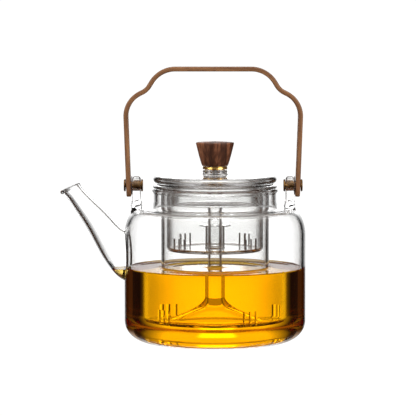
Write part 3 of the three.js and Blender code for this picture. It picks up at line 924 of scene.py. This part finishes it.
def pivot_post(side, name, node):
    """A hollow brass post: its head bears on the ear, its barrel runs out through the bush."""
    inner, outer = along_x(node, side)
    length = outer - inner
    barrel, bore, depth = 2.9 * MM, 1.6 * MM, 9 * MM
    inner_ease, ease = 0.5 * MM, 0.3 * MM
    profile = [(0, 0)] + arc(PIVOT_HEAD_R - inner_ease, inner_ease, inner_ease, inner_ease, -1, 0, 5)
    profile += arc(PIVOT_HEAD_R - ease, PIVOT_HEAD - ease, ease, ease, 0, 1, 4)
    profile += [(barrel, PIVOT_HEAD), (barrel, length), (bore, length)]
    profile += [(bore, length - depth), (0, length - depth)]
    return turned_along_x(name, profile, side * inner, side)


def pivot_screw(side, name, node):
    """A cap screw with a domed head and a slot."""
    inner, outer = along_x(node, side)
    length = outer - inner
    shank, ease, dome = 1.3 * MM, 0.25 * MM, 0.8 * MM
    profile = [(0, 0), (shank - 0.3 * MM, 0), (shank, 0.3 * MM), (shank, length - PIVOT_HEAD)]
    profile += arc(PIVOT_HEAD_R - ease, length - PIVOT_HEAD + ease, ease, ease, -1, 0, 4)
    profile += arc(PIVOT_HEAD_R - dome, length - 0.7 * MM, dome, 0.7 * MM, 0, 1, 6) + [(0, length)]
    screw = turned_along_x(name, profile, side * inner, side)
    place = Matrix.Translation((side * outer, 0, PIVOT_Z))
    return combine(screw, "DIFFERENCE", [block("slot", (1 * MM, 1 * MM, 12 * MM), place)])


# ---- Put it all together ----

tea = tea_solid()
dress(tea, tea_material(), "pot")

glass = glass_material("blown_glass")
wet_glass = glass_material("blown_glass_in_tea", tea)
dress(pot(), glass, "pot", ("glass_body", "spout", "ear_right", "ear_left"))
dress(liner(), wet_glass, "liner", ("liner_cup", "steam_column"))
dress(basket(), glass, "basket", ("basket_cup", "basket_sleeve"))
dress(lid(), glass, "lid", ("lid_glass",))

walnut = walnut_material()
BRIGHT_BRASS = [(0.3, (0.72, 0.42, 0.1)), (0.7, (0.92, 0.62, 0.2))]
AGED_BRASS = [(0.35, (0.09, 0.044, 0.016)), (0.65, (0.3, 0.165, 0.058))]
brass_upright = brass_material("brass_collar", "Z", BRIGHT_BRASS, (0.12, 0.3))
brass_across = brass_material("brass_pivot", "X", AGED_BRASS, (0.28, 0.45))
steel, silicone, leather = steel_material(), silicone_material(), leather_material()
dress(knob(), walnut, "lid", ("knob",))
dress(collar(), brass_upright, "lid", ("knob_collar",))
dress(bail(), bent_wood_material(), "bail", ("bail",))
for side, word in ((1, "right"), (-1, "left")):
    for make, kind in ((pivot_post, "pivot_post"), (pivot_screw, "pivot_screw")):
        node = f"{kind}_{word}"
        dress(make(side, f"{kind}_fine_{word}", node), brass_across, "bail", (node,))
kept = {"knob_screw": steel, "screw_washer": steel, "knob_gasket": silicone}
for word in ("right", "left"):
    kept.update({f"ear_bush_{word}": brass_across, f"spacer_{word}": leather})
for name, material in kept.items():
    node = frame["nodes"][name]
    node.material_slots[0].material = material


# ---- Camera, floor, backdrop and light ----

CAMERA_DISTANCE, CAMERA_HEIGHT = 1.7, 0.226
CAMERA_X = -0.00506
CAMERA_PITCH = math.radians(4.356)
FOCAL_LENGTH, SENSOR = 203.7, 36.0

camera_data = bpy.data.cameras.new("camera")
camera_data.lens = FOCAL_LENGTH
camera_data.sensor_width = SENSOR
camera_data.clip_end = 20
camera = bpy.data.objects.new("camera", camera_data)
bpy.context.scene.collection.objects.link(camera)
camera.location = (CAMERA_X, -CAMERA_DISTANCE, CAMERA_HEIGHT)
camera.rotation_euler = (QUARTER - CAMERA_PITCH, 0, 0)
bpy.context.scene.camera = camera


def glow(name, colour, strength):
    material = bpy.data.materials.new(name)
    material.use_nodes = True
    tree = material.node_tree
    tree.nodes.remove(tree.nodes["Principled BSDF"])
    shader = tree.nodes.new("ShaderNodeEmission")
    shader.inputs["Color"].default_value = (*colour, 1)
    shader.inputs["Strength"].default_value = strength
    tree.links.new(shader.outputs["Emission"], tree.nodes["Material Output"].inputs["Surface"])
    return material


PLAIN_WHITE = 1.05  # strength of the floor, and of the card where the camera sees it directly
MIRROR_HALF_GAIN = [(0.0, 0.275), (0.06, 0.275), (0.12, 0.5), (1.0, 0.5)]  # over the height in metres


class CardNodes:
    """The node tree of a lit card, whose brightness changes over the card."""

    def __init__(self, name):
        self.material = glow(name, (1, 1, 1), 1.0)
        self.tree = self.material.node_tree
        place = self.tree.nodes.new("ShaderNodeTexCoord").outputs["Object"]
        axes = self.tree.nodes.new("ShaderNodeSeparateXYZ")
        self.tree.links.new(place, axes.inputs[0])
        self.x = self.math("ABSOLUTE", axes.outputs["X"])
        self.y = axes.outputs["Y"]

    def math(self, operation, *values):
        node = self.tree.nodes.new("ShaderNodeMath")
        node.operation = operation
        for socket, value in zip(node.inputs, values):
            if isinstance(value, bpy.types.NodeSocket):
                self.tree.links.new(value, socket)
            else:
                socket.default_value = value
        return node.outputs[0]

    def graph(self, source, points):
        """A value over a position in metres from 0 to 1, through the given points, flat beyond them."""
        node = self.tree.nodes.new("ShaderNodeFloatCurve")
        line = node.mapping.curves[0]
        line.points[0].location, line.points[1].location = points[0], points[-1]
        for point in points[1:-1]:
            line.points.new(*point)
        node.mapping.update()
        inside = self.math("MAXIMUM", self.math("MINIMUM", source, 1.0), 0.0)
        self.tree.links.new(inside, node.inputs["Value"])
        return self.math("MAXIMUM", node.outputs["Value"], 0.0)

    def finish(self, strength):
        """Mirrored in glass, the card is dimmer low down. Seen directly, it is plain white."""
        path = self.tree.nodes.new("ShaderNodeLightPath")
        mirrored = self.math("MINIMUM", path.outputs["Glossy Depth"], 1.0)
        half_gain = self.graph(self.y, MIRROR_HALF_GAIN)
        change = self.math("SUBTRACT", self.math("MULTIPLY", half_gain, 2.0), 1.0)
        factor = self.math("ADD", 1.0, self.math("MULTIPLY", mirrored, change))
        strength = self.math("MULTIPLY", strength, factor)
        direct = path.outputs["Is Camera Ray"]
        indirect = self.math("MULTIPLY", strength, self.math("SUBTRACT", 1.0, direct))
        strength = self.math("ADD", indirect, self.math("MULTIPLY", direct, PLAIN_WHITE))
        self.tree.links.new(strength, self.tree.nodes["Emission"].inputs["Strength"])
        return self.material


# The backdrop's brightness, as shares over the distance in metres from its middle.
UPPER_ACROSS = [(0.0, 1.0), (0.2, 1.0), (0.23, 0.8), (0.29, 0.45), (0.36, 0.2), (0.46, 0.0), (1.0, 0.0)]
LOWER_ACROSS = [(0.0, 1.0), (0.1, 0.86), (0.16, 0.66), (0.24, 0.4), (0.32, 0.2), (0.42, 0.0), (1.0, 0.0)]
TOP_FADE = [(0.0, 1.0), (0.22, 1.0), (0.28, 0.7), (0.36, 0.25), (0.44, 0.0), (1.0, 0.0)]
TABLE_EDGE = [(0.0, 0.0), (0.055, 0.04), (0.085, 1.0), (0.2, 1.0), (1.0, 1.0)]
DEEP_PART = [(0.0, 0.0), (0.12, 0.0), (0.25, 1.0), (1.0, 1.0)]
ABOVE_POT = [(0.0, 0.0), (0.055, 0.0), (0.085, 1.0), (0.2, 1.0), (0.26, 0.0), (1.0, 0.0)]
MIDDLE_ONLY = [(0.0, 1.0), (0.045, 1.0), (0.08, 0.0), (1.0, 0.0)]
UPPER_STRENGTH, EXTRA_ABOVE_POT = 1.45, 2.0
LOWER_STRENGTH, EXTRA_DEEP = 2.0, 3.4


def backdrop_material():
    """White paper that fades softly to black at its sides and top. Below the table top it is brighter."""
    card = CardNodes("graded_card")
    fade = card.math("MULTIPLY", card.graph(card.x, UPPER_ACROSS), card.graph(card.y, TOP_FADE))
    spot = card.math("MULTIPLY", card.graph(card.y, ABOVE_POT), card.graph(card.x, MIDDLE_ONLY))
    spot_strength = card.math("MULTIPLY", spot, EXTRA_ABOVE_POT)
    upper = card.math("MULTIPLY", fade, card.math("ADD", UPPER_STRENGTH, spot_strength))
    depth = card.math("MULTIPLY", card.y, -1.0)
    deep_strength = card.math("MULTIPLY", card.graph(depth, DEEP_PART), EXTRA_DEEP)
    lower_strength = card.math("ADD", LOWER_STRENGTH, deep_strength)
    lower = card.math("MULTIPLY", card.graph(card.x, LOWER_ACROSS), lower_strength)
    below = card.graph(depth, TABLE_EDGE)
    upper_share = card.math("MULTIPLY", upper, card.math("SUBTRACT", 1.0, below))
    return card.finish(card.math("ADD", upper_share, card.math("MULTIPLY", lower, below)))


UNDER_ACROSS = [(0.0, 1.0), (0.06, 1.0), (0.14, 0.6), (0.22, 0.0), (1.0, 0.0)]
UNDER_STRENGTH = 0.6


def under_card_material():
    """Light paper under and behind the pot, bright in its middle."""
    card = CardNodes("lit_table")
    return card.finish(card.math("MULTIPLY", card.graph(card.x, UNDER_ACROSS), UNDER_STRENGTH))


def flat_panel(name, width, height, material):
    bm = bmesh.new()
    stretch = Matrix.Diagonal((width, height, 1, 1))
    bmesh.ops.create_grid(bm, x_segments=1, y_segments=1, size=0.5, matrix=stretch)
    mesh = bpy.data.meshes.new(name)
    bm.to_mesh(mesh)
    bm.free()
    mesh.materials.append(material)
    panel = new_object(name, mesh)
    panel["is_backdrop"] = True
    return panel


# The floor is plain white paper, lit evenly. The glass sees only the cards below, so it mirrors no floor.
floor = flat_panel("floor", 3.0, 3.0, glow("white_floor", (1, 1, 1), PLAIN_WHITE))
floor.location = (0, 0, -0.0005)
floor.visible_glossy = False
floor.visible_transmission = False

# The cards and the lamps stand with the camera, as round a turntable: a white card is always behind the pot.
BACKDROP_BEHIND, UNDER_BEHIND = 0.75, 0.45
backdrop = flat_panel("backdrop", 1.2, 1.0, backdrop_material())
backdrop.parent = camera
backdrop.location = (0, 0, -(CAMERA_DISTANCE + BACKDROP_BEHIND))
under_card = flat_panel("under_card", 0.5, 0.6, under_card_material())
under_card.parent = camera
under_card.location = (0, -0.16, -(CAMERA_DISTANCE + UNDER_BEHIND))
under_card.rotation_euler = (QUARTER, 0, 0)
under_card.visible_camera = False


def lamp(name, place, size, power):
    """A soft box, placed from the pot's middle in the camera's own directions, and aimed at the pot."""
    data = bpy.data.lights.new(name, "AREA")
    data.shape = "RECTANGLE"
    data.size, data.size_y = size
    data.energy = power
    obj = bpy.data.objects.new(name, data)
    bpy.context.scene.collection.objects.link(obj)
    obj.parent = camera
    obj.location = Vector(place) + Vector((0, 0, -CAMERA_DISTANCE))
    obj.rotation_mode = "QUATERNION"
    obj.rotation_quaternion = Vector(place).to_track_quat("Z", "Y")
    return obj


lamp("key_left", place=(-0.9, 0.35, 0.75), size=(0.3, 0.9), power=7)
lamp("key_right", place=(0.9, 0.35, 0.75), size=(0.3, 0.9), power=12)
lamp("top", place=(0.0, 1.0, 0.25), size=(0.8, 0.5), power=6)

# The lamps light wood, metal and leather only: clear glass is lit by the cards behind it.
lit = bpy.data.collections.new("lit_pieces")
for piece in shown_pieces():
    if piece.data.materials[0].name in ("blown_glass", "blown_glass_in_tea", "amber_tea"):
        piece.visible_shadow = False
    else:
        lit.objects.link(piece)
for obj in bpy.context.scene.objects:
    if obj.type == "LIGHT":
        obj.light_linking.receiver_collection = lit

world = bpy.data.worlds.new("studio")
world.use_nodes = True
bpy.context.scene.world = world

# The room is dark and warm near the table and bright overhead. Heights are sines of the angle of view.
ROOM_LIGHT = [
    (0.05, (0.05, 0.024, 0.013)),
    (0.35, (0.36, 0.34, 0.32)),
    (0.6, (0.42, 0.4, 0.38)),
    (0.85, (1.0, 0.96, 0.92)),
]
sky = world.node_tree
heights = sky.nodes.new("ShaderNodeSeparateXYZ")
sky.links.new(sky.nodes.new("ShaderNodeTexCoord").outputs["Generated"], heights.inputs[0])
room = sky.nodes.new("ShaderNodeValToRGB")
while len(room.color_ramp.elements) < len(ROOM_LIGHT):
    room.color_ramp.elements.new(0.5)
for element, (height, colour) in zip(room.color_ramp.elements, ROOM_LIGHT):
    element.position = height
    element.color = (*colour, 1)
sky.links.new(heights.outputs["Z"], room.inputs["Fac"])
sky.links.new(room.outputs["Color"], sky.nodes["Background"].inputs["Color"])

scene = bpy.context.scene
scene.view_settings.view_transform = "Standard"
scene.cycles.max_bounces = 40
scene.cycles.transmission_bounces = 36
scene.cycles.glossy_bounces = 12
scene.cycles.transparent_max_bounces = 16
scene.cycles.use_denoising = True
scene.cycles.sample_clamp_indirect = 8.0
